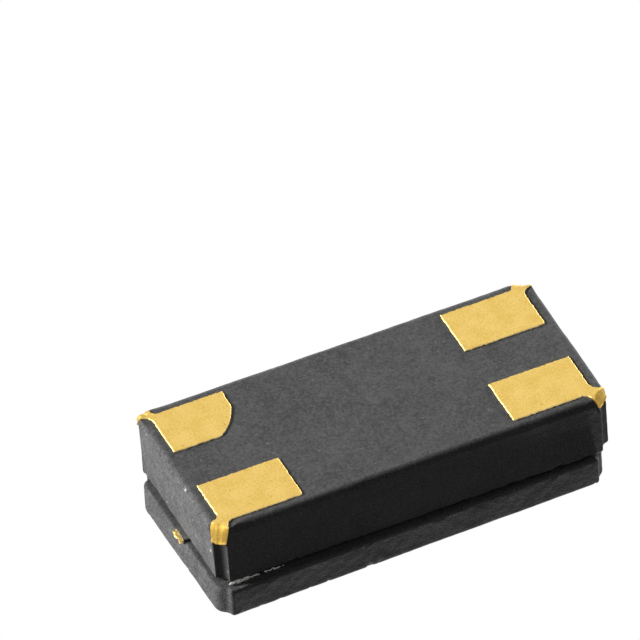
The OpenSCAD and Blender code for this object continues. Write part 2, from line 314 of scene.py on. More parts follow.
def sew(mesh, lower, upper, slot_index=0, skipped=()):
    """Joins two closed loops of the same length with quads, apart from the skipped places."""
    count = len(lower)
    for i in range(count):
        if i not in skipped:
            j = (i + 1) % count
            face = mesh.faces.new((lower[i], lower[j], upper[j], upper[i]))
            face.material_index = slot_index


def loop_verts(mesh, loop):
    """Adds a loop of points, given in millimetres, to a mesh."""
    return [mesh.verts.new(p * MM) for p in loop]


def flat_loop(points, height):
    """A loop of footprint points lifted to a height."""
    return [Vector((*p, height)) for p in points]


def made_piece(name, mesh, finishes, stands_for=(), sharp=60):
    """Turns a mesh into a named piece that rides on the part and stands for its CAD nodes.

    Quads are smooth, up to edges sharper than the given degrees, and the flat faces stay flat.
    """
    bmesh.ops.remove_doubles(mesh, verts=mesh.verts, dist=WELD * MM)
    bmesh.ops.recalc_face_normals(mesh, faces=mesh.faces)
    data = bpy.data.meshes.new(name)
    mesh.to_mesh(data)
    mesh.free()
    for finish in finishes:
        data.materials.append(finish)
    data.set_sharp_from_angle(angle=math.radians(sharp))
    for face in data.polygons:
        face.use_smooth = len(face.vertices) == 4
    piece = bpy.data.objects.new(name, data)
    bpy.context.scene.collection.objects.link(piece)
    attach(piece, "root")
    if stands_for:
        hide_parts(*stands_for)


# ---------------------------------------------------------------- node trees

def srgb(code):
    """Linear colour of an sRGB hex value."""
    parts = [int(code[i:i + 2], 16) / 255 for i in (1, 3, 5)]
    return tuple(c / 12.92 if c <= 0.04045 else ((c + 0.055) / 1.055) ** 2.4 for c in parts) + (1,)


def grey(level):
    """A linear grey."""
    return (level, level, level, 1)


def per_mm(size):
    """Texture scale whose features are the given size in millimetres."""
    return 1 / (size * MM)


def node(tree, kind, inputs=None, ramp=None, out=0, **settings):
    """Adds one shader node with its settings, its links or values and its two-colour ramp.

    It gives the node's first output, or the one that out names.
    """
    added = tree.nodes.new("ShaderNode" + kind)
    for name, value in settings.items():
        setattr(added, name, value)
    for socket, value in (inputs or {}).items():
        if isinstance(value, bpy.types.NodeSocket):
            tree.links.new(value, added.inputs[socket])
        else:
            added.inputs[socket].default_value = value
    if ramp:
        for stop, (place, colour) in zip(added.color_ramp.elements, ramp):
            stop.position = place
            stop.color = colour
    return added.outputs[out] if added.outputs else None


def new_material(name):
    """An empty material with its tree, and the object coordinates that its patterns use."""
    material = bpy.data.materials.new(name)
    material.use_nodes = True
    tree = material.node_tree
    tree.nodes.clear()
    return material, tree, node(tree, "TexCoord", out="Object")


# ---------------------------------------------------------------- ceramic and glass

def fired_alumina(name, dark, pale, fleck, grain, relief, dull, chips=()):
    """Black alumina as fired: dull charcoal grey with soft clouds, fine grain and stray pale dust.

    The real grain of a few thousandths of a millimetre can't show, so it is drawn ten times
    coarser. grain is its drawn size and relief its height, in millimetres, and dull is the mean
    roughness. A chip is a place and a size in millimetres, where the edge has lost a flake.
    """
    material, tree, place = new_material(name)
    clouds = node(tree, "TexNoise", {"Vector": place, "Scale": per_mm(1.1), "Detail": 4})
    mottle = node(tree, "TexNoise", {"Vector": place, "Scale": per_mm(0.26), "Detail": 4,
                                     "Roughness": 0.6})
    grit = node(tree, "TexNoise", {"Vector": place, "Scale": per_mm(grain), "Detail": 2,
                                   "Roughness": 0.7})
    soft = node(tree, "Mix", {"Factor": 0.5, "A": clouds, "B": mottle})
    tone = node(tree, "Mix", {"Factor": 0.62, "A": soft, "B": grit})
    body = node(tree, "ValToRGB", {"Fac": tone}, ramp=[(0.38, srgb(dark)), (0.62, srgb(pale))])
    dust = node(tree, "TexNoise", {"Vector": place, "Scale": per_mm(0.07), "Detail": 1})
    dusted = node(tree, "ValToRGB", {"Fac": dust}, ramp=[(0.7, grey(0)), (0.82, grey(0.75))])
    colour = node(tree, "Mix", {"Factor": dusted, "A": body, "B": srgb(fleck)},
                  data_type="RGBA", out="Result")
    for spot, size in chips:
        away = node(tree, "VectorMath", {0: place, 1: spot * MM}, operation="DISTANCE", out="Value")
        ragged = node(tree, "Math", {0: mottle, 1: -2 * size * MM, 2: away},
                      operation="MULTIPLY_ADD")
        bare = node(tree, "MapRange", {"Value": ragged, "From Min": -0.2 * size * MM, "From Max": 0,
                                       "To Min": 1, "To Max": 0})
        colour = node(tree, "Mix", {"Factor": bare, "A": colour, "B": srgb("#b8b8b2")},
                      data_type="RGBA", out="Result")
    height = node(tree, "Mix", {"Factor": 0.5, "A": mottle, "B": grit})
    bump = node(tree, "Bump", {"Height": height, "Strength": 1, "Distance": relief * MM})
    sheen = node(tree, "MapRange", {"Value": grit, "To Min": dull - 0.06, "To Max": dull + 0.06})
    skin = node(tree, "BsdfPrincipled", {"Base Color": colour, "Roughness": sheen, "Normal": bump,
                                         "IOR": 1.76, "Specular IOR Level": 0.08})
    node(tree, "OutputMaterial", {"Surface": skin})
    return material


def solder_glass(name, dark, pale, crack, glint):
    """Solder glass fired in the seam: opaque and satin, with fine crazing where it cooled fastest.

    crack is how dark the crazing is, and glint how strongly the glass sends light back.
    """
    material, tree, place = new_material(name)
    cloud = node(tree, "TexNoise", {"Vector": place, "Scale": per_mm(0.2), "Detail": 4})
    body = node(tree, "ValToRGB", {"Fac": cloud}, ramp=[(0.3, srgb(dark)), (0.7, srgb(pale))])
    cells = node(tree, "TexVoronoi", {"Vector": place, "Scale": per_mm(0.05)},
                 feature="DISTANCE_TO_EDGE")
    split = node(tree, "MapRange", {"Value": cells, "From Max": 0.06, "To Min": crack, "To Max": 0})
    colour = node(tree, "Mix", {"Factor": split, "A": body, "B": srgb("#3a3a3a")},
                  data_type="RGBA", out="Result")
    bump = node(tree, "Bump", {"Height": cloud, "Strength": 1, "Distance": 0.006 * MM})
    sheen = node(tree, "MapRange", {"Value": cloud, "To Min": 0.3, "To Max": 0.55})
    skin = node(tree, "BsdfPrincipled", {"Base Color": colour, "Roughness": sheen, "Normal": bump,
                                         "IOR": 1.9, "Specular IOR Level": glint})
    node(tree, "OutputMaterial", {"Surface": skin})
    return material


# ---------------------------------------------------------------- metal

def gold_plate(name, deep, bright, pit, grain, dull):
    """Matt gold over sintered metal: warm yellow, gently blotched, with the metal's grain under it.

    The sintered grain of about 0.005 mm is drawn coarser so that it shows. grain is its drawn size
    in millimetres, pit the colour of its darkest specks, and dull the mean roughness.
    """
    material, tree, place = new_material(name)
    blotch = node(tree, "TexNoise", {"Vector": place, "Scale": per_mm(0.3), "Detail": 3})
    pits = node(tree, "TexNoise", {"Vector": place, "Scale": per_mm(grain), "Detail": 3,
                                   "Roughness": 0.7})
    tone = node(tree, "Mix", {"Factor": 0.65, "A": blotch, "B": pits})
    gold = node(tree, "ValToRGB", {"Fac": tone}, ramp=[(0.4, srgb(deep)), (0.6, srgb(bright))])
    speck = node(tree, "TexNoise", {"Vector": place, "Scale": per_mm(0.055), "Detail": 1})
    spotted = node(tree, "ValToRGB", {"Fac": speck}, ramp=[(0.67, grey(0)), (0.77, grey(0.55))])
    colour = node(tree, "Mix", {"Factor": spotted, "A": gold, "B": srgb(pit)},
                  data_type="RGBA", out="Result")
    bump = node(tree, "Bump", {"Height": tone, "Strength": 1, "Distance": 0.0035 * MM})
    sheen = node(tree, "MapRange", {"Value": pits, "To Min": dull - 0.08, "To Max": dull + 0.08})
    skin = node(tree, "BsdfPrincipled", {"Base Color": colour, "Metallic": 1, "Roughness": sheen,
                                         "Normal": bump})
    node(tree, "OutputMaterial", {"Surface": skin})
    return material


def sintered_tungsten(name):
    """Tungsten paste sintered in a punched hole: grey, grainy and dull."""
    material, tree, place = new_material(name)
    grain = node(tree, "TexVoronoi", {"Vector": place, "Scale": per_mm(0.02)})
    colour = node(tree, "ValToRGB", {"Fac": grain},
                  ramp=[(0.1, srgb("#9a9a9c")), (0.7, srgb("#6c6c70"))])
    bump = node(tree, "Bump", {"Height": grain, "Strength": 0.8, "Distance": 0.004 * MM})
    skin = node(tree, "BsdfPrincipled", {"Base Color": colour, "Metallic": 1, "Roughness": 0.6,
                                         "Normal": bump})
    node(tree, "OutputMaterial", {"Surface": skin})
    return material


def silver_filled_epoxy(name):
    """Dispensed glue full of silver flakes: a pale grey dome with a broken, glinting surface."""
    material, tree, place = new_material(name)
    flakes = node(tree, "TexVoronoi", {"Vector": place, "Scale": per_mm(0.016)}, out="Color")
    glint = node(tree, "SeparateColor", {"Color": flakes}, out="Red")
    colour = node(tree, "ValToRGB", {"Fac": glint},
                  ramp=[(0.2, srgb("#85847f")), (0.9, srgb("#c9c8c2"))])
    swell = node(tree, "TexNoise", {"Vector": place, "Scale": per_mm(0.06), "Detail": 3})
    bump = node(tree, "Bump", {"Height": swell, "Strength": 1, "Distance": 0.01 * MM})
    sheen = node(tree, "MapRange", {"Value": glint, "To Min": 0.35, "To Max": 0.7})
    skin = node(tree, "BsdfPrincipled", {"Base Color": colour, "Metallic": 0.6, "Roughness": sheen,
                                         "Normal": bump})
    node(tree, "OutputMaterial", {"Surface": skin})
    return material


def evaporated_silver(name):
    """Silver evaporated on the lapped blank: bright, with the fine frost of the quartz under it."""
    material, tree, place = new_material(name)
    frost = node(tree, "TexNoise", {"Vector": place, "Scale": per_mm(0.02), "Detail": 3,
                                    "Roughness": 0.7})
    haze = node(tree, "TexNoise", {"Vector": place, "Scale": per_mm(0.5), "Detail": 2})
    colour = node(tree, "ValToRGB", {"Fac": haze},
                  ramp=[(0.3, srgb("#c9cbce")), (0.7, srgb("#dfe1e2"))])
    bump = node(tree, "Bump", {"Height": frost, "Strength": 0.4, "Distance": 0.001 * MM})
    sheen = node(tree, "MapRange", {"Value": frost, "To Min": 0.18, "To Max": 0.34})
    skin = node(tree, "BsdfPrincipled", {"Base Color": colour, "Metallic": 1, "Roughness": sheen,
                                         "Normal": bump})
    node(tree, "OutputMaterial", {"Surface": skin})
    return material


def drawn_gold_wire(name):
    """Gold wire drawn through a die: bright, with faint marks along it."""
    material, tree, place = new_material(name)
    along = node(tree, "Mapping", {"Vector": place, "Scale": (0.1, 0.1, 1)})
    marks = node(tree, "TexNoise", {"Vector": along, "Scale": per_mm(0.008), "Detail": 2})
    colour = node(tree, "ValToRGB", {"Fac": marks},
                  ramp=[(0.3, srgb("#dba94a")), (0.7, srgb("#f0c972"))])
    sheen = node(tree, "MapRange", {"Value": marks, "To Min": 0.15, "To Max": 0.32})
    skin = node(tree, "BsdfPrincipled", {"Base Color": colour, "Metallic": 1, "Roughness": sheen})
    node(tree, "OutputMaterial", {"Surface": skin})
    return material


# ---------------------------------------------------------------- crystal and chip

def lapped_quartz(name):
    """Clear quartz ground with fine grit: see-through, with a milky frost and faint scratches."""
    material, tree, place = new_material(name)
    frost = node(tree, "TexNoise", {"Vector": place, "Scale": per_mm(0.015), "Detail": 3})
    stretched = node(tree, "Mapping", {"Vector": place, "Scale": (0.08, 1, 1)})
    scratch = node(tree, "TexNoise", {"Vector": stretched, "Scale": per_mm(0.02), "Detail": 2})
    height = node(tree, "Mix", {"Factor": 0.4, "A": frost, "B": scratch})
    bump = node(tree, "Bump", {"Height": height, "Strength": 0.5, "Distance": 0.0015 * MM})
    colour = node(tree, "ValToRGB", {"Fac": frost},
                  ramp=[(0.3, srgb("#e6ecee")), (0.7, srgb("#f4f7f8"))])
    sheen = node(tree, "MapRange", {"Value": frost, "To Min": 0.2, "To Max": 0.4})
    skin = node(tree, "BsdfPrincipled", {"Base Color": colour, "Roughness": sheen, "Normal": bump,
                                         "IOR": 1.544, "Transmission Weight": 0.85})
    node(tree, "OutputMaterial", {"Surface": skin})
    return material


def polished_silicon(name):
    """Polished silicon with its circuit layers: dark slate blue, blocks and rows under glass."""
    material, tree, place = new_material(name)
    rows = node(tree, "TexBrick", {"Vector": place, "Color1": srgb("#2c3440"),
                                   "Color2": srgb("#3d4a52"), "Mortar": srgb("#6a6250"),
                                   "Scale": per_mm(0.25), "Mortar Size": 0.02})
    fine = node(tree, "TexVoronoi", {"Vector": place, "Scale": per_mm(0.03)}, distance="CHEBYCHEV")
    colour = node(tree, "Mix", {"Factor": fine, "A": rows, "B": srgb("#20262e")},
                  data_type="RGBA", out="Result")
    bump = node(tree, "Bump", {"Height": fine, "Strength": 0.3, "Distance": 0.001 * MM})
    skin = node(tree, "BsdfPrincipled", {"Base Color": colour, "Roughness": 0.18, "Normal": bump,
                                         "IOR": 1.5, "Coat Weight": 0.6, "Coat Roughness": 0.05})
    node(tree, "OutputMaterial", {"Surface": skin})
    return material


# ---------------------------------------------------------------- the base and the lid

def cavity_loop(outline, low, high):
    """The cavity's outline with one point for each point of the outside, so both can be sewn."""
    reach = Vector(((high.x - low.x) / 2 - WALL_T, (high.y - low.y) / 2 - WALL_T))
    middle = (low + high).xy / 2
    loop = []
    for point, _ in outline:
        away = point - middle
        held = Vector((max(-reach.x, min(reach.x, away.x)), max(-reach.y, min(reach.y, away.y))))
        core = Vector((max(-reach.x + CAVITY_R, min(reach.x - CAVITY_R, held.x)),
                       max(-reach.y + CAVITY_R, min(reach.y - CAVITY_R, held.y))))
        over = held - core
        if over.x and over.y:
            held = core + over.normalized() * CAVITY_R
        loop.append(middle + held)
    return loop


def base_corner(sides, rise):
    """Radii of a base corner's notch and lips: worn at the pad face, alike and crisp further up."""
    mouth, end_lip, side_lip = MOUTHS[sides]
    worn = 1 - ease(rise, *WORN_HEIGHTS)
    return (between(NOTCH_R, mouth, worn), between(CORNER_R, end_lip + 0.01, worn),
            between(CORNER_R, side_lip + 0.01, worn))


def base_edge(sides, inwards, out):
    """How far in and up the pad face's edge is rounded: softly along the faces, less at notches."""
    near = 1 - ease(inwards.length, *MOUTH_REACH)
    along = between(FACE_EDGE_R, FAR_EDGE_R, max(0, out.x))
    return between(along, lip_inset(sides, inwards), near), between(along, MOUTH_DEPTH, near)


def refinish(mesh, chosen, slot_index):
    """Gives another finish to the side faces whose direction is chosen."""
    mesh.normal_update()
    for face in mesh.faces:
        if face.material_index == SIDE and chosen(face.normal):
            face.material_index = slot_index


def base_block(face, side, notch):
    """The ceramic base: flat pad side, snapped rough sides, and the cavity open to the lid."""
    low, high = box_mm("ceramic_base")
    outline, rings = block_rings(low, high, base_corner, base_edge, EDGE_R, BASE_STEPS)
    snapped(rings[1:], outline, low.z, high.z, low_chip=0.004, high_chip=0.035, seed=1,
            lean=END_LEAN)
    mesh = bmesh.new()
    loops = [loop_verts(mesh, r) for r in rings]
    mesh.faces.new(loops[0][::-1])
    for k, (lower, upper) in enumerate(zip(loops, loops[1:])):
        sew(mesh, lower, upper, FACE if k < BASE_FACE_STRIPS else SIDE)
    # The side faces that face diagonally, in the notches, take a darker finish: painted shade in
    # the hollows.
    refinish(mesh, lambda out: min(abs(out.x), abs(out.y)) > 0.25, SHADED_NOTCH)
    rim = cavity_loop(outline, low, high)
    mouth, floor = (loop_verts(mesh, flat_loop(rim, z)) for z in (high.z, low.z + FLOOR_T))
    sew(mesh, loops[-1], mouth, FACE)
    sew(mesh, mouth, floor, FACE)
    bmesh.ops.remove_doubles(mesh, verts=floor, dist=WELD * MM)
    mesh.faces.new([v for v in floor if v.is_valid])
    made_piece("base_block", mesh, [face, side, notch], ["ceramic_base"])


def shelf_block(face):
    """The step in the cavity that carries the crystal, with worn edges."""
    low, high = box_mm("ceramic_base")
    size = Vector((SHELF_L, high.y - low.y - 2 * WALL_T, SHELF_H))
    middle = Vector((low.x + WALL_T + SHELF_L / 2, (low.y + high.y) / 2,
                     low.z + FLOOR_T + SHELF_H / 2))
    mesh = bmesh.new()
    for v in bmesh.ops.create_cube(mesh, size=1)["verts"]:
        v.co = (middle + v.co * size) * MM
    bmesh.ops.bevel(mesh, geom=mesh.edges[:], offset=SHELF_EDGE_R * MM, segments=2, affect="EDGES")
    made_piece("shelf_block", mesh, [face])


def lid_block(face, side, lit_long_side):
    """The pressed ceramic lid, turned a little on the base as it was sealed."""
    base_low, base_high = box_mm("ceramic_base")
    box_low, box_high = box_mm("ceramic_lid")
    middle = (box_low + box_high) / 2
    half = Vector((base_high.x - base_low.x - LID_SHORT, base_high.y - base_low.y,
                   box_high.z - box_low.z)) / 2
    low, high = middle - half, middle + half
    outline, rings = block_rings(low, high, lambda sides, rise: LID_CORNER,
                                 lambda sides, inwards, out: (EDGE_R, EDGE_R), EDGE_R, LID_STEPS)
    snapped(rings, outline, low.z, high.z, low_chip=0.016, high_chip=0.02, seed=2)
    mesh = bmesh.new()
    loops = [loop_verts(mesh, r) for r in rings]
    mesh.faces.new(loops[0][::-1])
    mesh.faces.new(loops[-1])
    for k, (lower, upper) in enumerate(zip(loops, loops[1:])):
        from_face = min(k, len(loops) - 2 - k)
        sew(mesh, lower, upper, FACE if from_face < LID_FACE_STRIPS else SIDE)
    # The long sides take a paler copy of the ceramic, which is painted light.
    refinish(mesh, lambda out: abs(out.y) > 0.8, LIT_LONG_SIDE)
    bmesh.ops.rotate(mesh, verts=mesh.verts, cent=middle * MM,
                     matrix=Matrix.Rotation(math.radians(LID_TURN), 3, "Z"))
    made_piece("lid_block", mesh, [face, side, lit_long_side], ["ceramic_lid"])


# ---------------------------------------------------------------- terminals

def walked(points, step):
    """A line with points added so that none are further apart than step, without its last one."""
    found = []
    for a, b in zip(points, points[1:]):
        count = max(1, math.ceil((b - a).length / step))
        found += [a.lerp(b, k / count) for k in range(count)]
    return found


def plated_run(sides, rise):
    """The plated part of a corner's run, from halfway round one lip to halfway round the other."""
    return corner_run(*base_corner(sides, rise), fine=2)[4:-4]


def pad_outline(sides, index):
    """A solder pad's outline, measured inwards from the package corner, anticlockwise.

    Each point comes with how free its edge is: 0 on the notch's mouth, where the metal runs on,
    and 1 elsewhere.
    """
    near = Vector((PAD_GAP_X, PAD_GAP_Y))
    far = near + Vector((INDEX_PAD_L if index else PAD_L, PAD_W))
    mouth = [p - n * lip_inset(sides, p) for p, n in plated_run(sides, 0)]
    first, last = mouth[0], mouth[-1]
    end_bite, side_bite = near.x - first.x, near.y - last.y
    end_bend = arc((first.x, first.y + end_bite), end_bite, 0, -math.pi / 2, 8)
    side_bend = arc((last.x + side_bite, last.y), side_bite, math.pi, math.pi / 2, 8)
    before = walked([Vector((near.x, far.y))] + [p for p, _ in end_bend], PAD_STEP)
    after = [p for p, _ in side_bend] + [Vector((far.x, near.y))]
    if index:
        # Its inner corner is cut off along a line that bulges a little
        short_end = far - Vector((0, INDEX_CUT_W))
        long_end = far - Vector((INDEX_CUT_L, 0))
        out = Vector((INDEX_CUT_W, INDEX_CUT_L)).normalized() * INDEX_BULGE
        shares = [k / 8 for k in range(9)]
        after += [short_end.lerp(long_end, s) + out * 4 * s * (1 - s) for s in shares]
    else:
        after.append(far)
    after = walked(after + [before[0]], PAD_STEP)[1:]
    return ([(p, ease((p - first).length, 0, RIM_REACH)) for p in before]
            + [(p, 0) for p in mouth]
            + [(p, ease((p - last).length, 0, RIM_REACH)) for p in after])


def pad_plate(mesh, corner, sides, index, face_z, seed):
    """The flat pad with its softly rounded, ragged rim, open where it runs on into the notch."""
    placed = [(corner - p * Vector(sides), free) for p, free in pad_outline(sides, index)]
    if sides[0] * sides[1] < 0:
        placed.reverse()
    count = len(placed)
    outline = []
    for i, (p, free) in enumerate(placed):
        along = placed[(i + 1) % count][0] - placed[i - 1][0]
        out = Vector((along.y, -along.x)).normalized()
        wave = RIM_WAVE * free * rough(Vector((p.x, p.y, seed)), 0.06, 3)
        outline.append((p + out * wave, out))
    # The rim's inset and height from the ceramic down to the flat
    rim = ((-0.006, face_z + 0.004), (-0.002, face_z * 0.6), (0.002, face_z * 0.2), (0.009, 0))
    loops = [loop_verts(mesh, ring(outline, [inset * free for _, free in placed], [z] * count))
             for inset, z in rim]
    running_on = [i for i in range(count) if placed[i][1] == placed[(i + 1) % count][1] == 0]
    # The rim's strips take the paler rim gold, which is a painted highlight.
    for slot_index, upper, lower in zip((HIGHLIGHT_RIM, HIGHLIGHT_RIM, FLAT), loops, loops[1:]):
        sew(mesh, lower, upper, slot_index, running_on)
    mesh.faces.new(loops[-1][::-1])


def notch_sheet(mesh, corner, sides, face_z, depth, bead):
    """The plating that turns over the edge and runs down the notch, with a lip where it ends.

    depth is how far down it runs, and bead how much thicker it stands in the notch's mouth.
    """
    turn = math.pi / 2
    levels = [(turn * k / MOUTH_STEPS, 0) for k in range(MOUTH_STEPS + 1)]
    levels += [(turn, k / LINING_STEPS) for k in range(1, LINING_STEPS + 1)]
    rows = []
    for bend, share in levels:
        upright = math.sin(bend)
        rise = MOUTH_DEPTH * (1 - math.cos(bend))
        run = plated_run(sides, between(rise, depth, share))
        insets = [lip_inset(sides, p) * (1 - upright) for p, _ in run]
        run = placed_run(run, corner, *sides)
        if sides[0] * sides[1] < 0:
            insets.reverse()
        run = [run[0]] + run + [run[-1]]
        insets = [insets[0]] + insets + [insets[-1]]
        last = len(run) - 1
        row = []
        for i, ((p, n), inset) in enumerate(zip(run, insets)):
            from_edge = min(i, last - i)
            inner = ease(from_edge, 1, 9)
            fall = share * (depth - MOUTH_DEPTH - PLATED_CURVE * (1 - inner))
            at = Vector((p.x - n.x * inset, p.y - n.y * inset, face_z + rise + fall))
            at.z += RIM_WAVE * share * rough(at, 0.1, 3)
            way = Vector((n.x * upright, n.y * upright, -math.cos(bend)))
            lining = LINING_T * between(0.25, 1.4, inner) + LINING_LIP * ease(share, 0.75, 0.95)
            lining += bead * ease(from_edge, 3, 12) * (1 - ease(share, 0, 0.7))
            film = between(PLATE_T, lining, upright) + 0.003 * upright * rough(at, 0.06, 3)
            # The outermost points sink into the ceramic, so the sheet has no open edge
            row.append(mesh.verts.new((at + way * (film if from_edge else -SUNK)) * MM))
        rows.append(row)
    # A last row turns into the ceramic and closes the lip
    rows.append([mesh.verts.new(v.co - Vector((*n, 0)) * LINING_T * 3 * MM)
                 for v, (_, n) in zip(rows[-1], run)])
    # Past the first strips the plating takes the darker notch gold, which is painted shade.
    for k, (a, b) in enumerate(zip(rows, rows[1:])):
        for i in range(last):
            face = mesh.faces.new((a[i], a[i + 1], b[i + 1], b[i]))
            face.material_index = FLAT if k < FLAT_STRIPS else SHADED_LINING


def terminal(name, sides, finishes, depth, bead=0, index=False, seed=0):
    """One solder pad, its neck and its plated corner notch."""
    low, high = box_mm("ceramic_base")
    corner = corner_point(low, high, *sides)
    mesh = bmesh.new()
    pad_plate(mesh, corner, sides, index, low.z, seed)
    notch_sheet(mesh, corner, sides, low.z, depth, bead)
    made_piece(name + "_plating", mesh, finishes, [name], sharp=75)


def tie_bar(bare, dull):
    """The snapped stub of the bar that fed the plating: bare gold where it broke, dark ceramic
    colour behind.
    """
    low, high = box_mm("plating_tab")
    middle = (low + high) / 2 + Vector(TAB_SHIFT)
    mesh = bmesh.new()
    bmesh.ops.create_cube(mesh, size=1)
    bmesh.ops.subdivide_edges(mesh, edges=mesh.edges[:], cuts=TAB_CUTS, use_grid_fill=True)
    for v in mesh.verts:
        # The broken end is split by a groove, and its corners are rounded off
        at = v.co.copy()
        out = ease(-at.x, -0.5, 0.5)
        split = ease(0.09 - abs(at.y - 0.12), 0, 0.09) * ease(at.z, -0.3, 0.4) * out
        shrunk = 1 - 0.14 * (abs(2 * at.y) ** 4 + abs(2 * at.z) ** 4) * out
        at = Vector((at.x + 0.4 * split, at.y * shrunk, at.z * shrunk))
        point = middle + at * (high - low)
        point += Vector(TAB_ROUGH) * rough(point, 0.07, 3) * out
        v.co = point * MM
    # Faces behind the broken end take the dark ceramic finish.
    for face in mesh.faces:
        behind = face.calc_center_median().x / MM > low.x + TAB_BARE
        face.material_index = DARK_BACK if behind else BARE
    made_piece("tie_bar_stub", mesh, [bare, dull], ["plating_tab"])


# ---------------------------------------------------------------- glass

def seal_band(finish, crumbs):
    """Solder glass in the seam, drawn back from the edge, and the bit that ran out and crazed."""
    base_low, base_high = box_mm("ceramic_base")
    lid_low, lid_high = box_mm("ceramic_lid")
    inset = Vector((GLASS_INSET, GLASS_INSET, 0))
    inner_low = Vector(max(a, b) for a, b in zip(base_low, lid_low)) + inset
    inner_high = Vector(min(a, b) for a, b in zip(base_high, lid_high)) - inset
    outline = notched_outline(inner_low, inner_high, lambda sides: (NOTCH_R * 0.75, 0.04, 0.04))
    count = len(outline)
    bottom, top = base_high.z - GLASS_OVERLAP, box_mm("glass_seal")[1].z + GLASS_OVERLAP
    mesh = bmesh.new()
    loops = []
    for k, hollow in enumerate(GLASS_HOLLOW):
        height = between(bottom, top, k / (len(GLASS_HOLLOW) - 1))
        drawn = ring(outline, [hollow] * count, [height] * count)
        loops.append(loop_verts(mesh, [p + Vector((*(out * 0.02 * rough(p, 0.4, 3)), 0))
                                       for p, (_, out) in zip(drawn, outline)]))
    for lower, upper in zip(loops, loops[1:]):
        sew(mesh, lower, upper, BAND)
    rim = cavity_loop(outline, base_low, base_high)
    inner_bottom, inner_top = (loop_verts(mesh, flat_loop(rim, z)) for z in (bottom, top))
    sew(mesh, inner_bottom, loops[0], BAND)
    sew(mesh, loops[-1], inner_top, BAND)
    sew(mesh, inner_top, inner_bottom, BAND)
    spill(mesh, base_low, base_high)
    made_piece("seal_band", mesh, [finish, crumbs], ["glass_seal"])


def spill(mesh, base_low, base_high):
    """Crumbs of glass along the seam of the long side, thick by the corner and thinning out."""
    for k in range(CRUMBS):
        share = k / (CRUMBS - 1)
        if share > 0.3 and rough(Vector((k * 0.63, 3.4, 9.3)), 1) < -0.05:
            continue
        size = between(*CRUMB_SIZES, ease(share, 0.05, 0.5))
        size *= 1 + 0.9 * rough(Vector((k * 1.7, 2, 5)), 1)
        middle = Vector((base_low.x + SPILL_START + SPILL_L * share, base_high.y + 0.01,
                         base_high.z + 0.005 - 0.04 * rough(Vector((k * 0.9, 7, 1)), 1)))
        for v in bmesh.ops.create_icosphere(mesh, subdivisions=2, radius=1)["verts"]:
            shape = v.co * (1 + 0.35 * rough(v.co + Vector((k * 3.1, 0, 0)), 0.8))
            v.co = (middle + shape * size * Vector(CRUMB_SHAPE)) * MM
            for face in v.link_faces:
                face.material_index = CRUMB


# ---------------------------------------------------------------- inside

def dressed(finish, *names):
    """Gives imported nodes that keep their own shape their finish."""
    for name in names:
        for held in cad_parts[name].material_slots:
            held.material = finish


# ---------------------------------------------------------------- light, floor and camera

def sun(name, toward, level, spread):
    """A distant soft lamp. At level 1 a surface that faces it shows its colour as written."""
    data = bpy.data.lights.new(name, "SUN")
    data.energy = math.pi * level
    data.angle = math.radians(spread)
    lamp = bpy.data.objects.new(name, data)
    lamp.rotation_euler = Vector(toward).to_track_quat("Z", "Y").to_euler()
    bpy.context.scene.collection.objects.link(lamp)


def studio_light():
    """Low light from the index pad's end, a top lamp for the lid and a fill for the far sides."""
    sun("low_side_lamp", toward=(-0.8, -0.42, -0.32), level=2.1, spread=14)
    sun("top_lamp", toward=(0.1, 0.05, 0.98), level=1, spread=6)
    sun("far_side_lamp", toward=(0.78, -0.6, -0.1), level=1.2, spread=20)
    world = bpy.data.worlds.new("studio")
    world.use_nodes = True
    tree = world.node_tree
    tree.nodes.clear()
    # The world is a dim fill, and plain white where the camera, metal or glass sees it
    path = node(tree, "LightPath").node.outputs
    seen = node(tree, "Math", {0: path["Is Camera Ray"], 1: path["Is Glossy Ray"]},
                operation="MAXIMUM")
    seen = node(tree, "Math", {0: seen, 1: path["Is Transmission Ray"]}, operation="MAXIMUM")
    dim = node(tree, "Background", {"Color": srgb("#ffffff"), "Strength": 0.054})
    white = node(tree, "Background", {"Color": srgb("#ffffff"), "Strength": 1})
    mixed = node(tree, "MixShader", {"Fac": seen, 1: dim, 2: white})
    node(tree, "OutputWorld", {"Surface": mixed})
    bpy.context.scene.world = world


def studio_floor():
    """Pale paper that the pads stand on. It has only an upper side, and fades into the backdrop."""
    material, tree, place = new_material("pale_paper")
    fibre = node(tree, "TexNoise", {"Vector": place, "Scale": per_mm(1.2), "Detail": 3})
    tone = node(tree, "ValToRGB", {"Fac": fibre},
                ramp=[(0.3, srgb("#f4f4f2")), (0.7, srgb("#f8f8f6"))])
    paper = node(tree, "BsdfDiffuse", {"Color": tone})
    clear = node(tree, "BsdfTransparent", {"Color": srgb("#ffffff")})
    away = node(tree, "VectorMath", {0: place}, operation="LENGTH", out="Value")
    faded = node(tree, "MapRange", {"Value": away, "From Min": 30 * MM, "From Max": 120 * MM},
                 interpolation_type="SMOOTHSTEP")
    back = node(tree, "NewGeometry", out="Backfacing")
    hidden = node(tree, "Math", {0: faded, 1: back}, operation="MAXIMUM")
    shown = node(tree, "MixShader", {"Fac": hidden, 1: paper, 2: clear})
    node(tree, "OutputMaterial", {"Surface": shown})
    mesh = bmesh.new()
    bmesh.ops.create_circle(mesh, cap_ends=True, radius=130 * MM, segments=96)
    data = bpy.data.meshes.new("floor")
    mesh.to_mesh(data)
    mesh.free()
    data.materials.append(material)
    floor = bpy.data.objects.new("floor", data)
    floor.location.z = cad_box[0].z - 0.01 * MM
    floor.visible_diffuse = False
    floor.visible_glossy = False
    floor.visible_transmission = False
    floor.visible_shadow = False
    bpy.context.scene.collection.objects.link(floor)


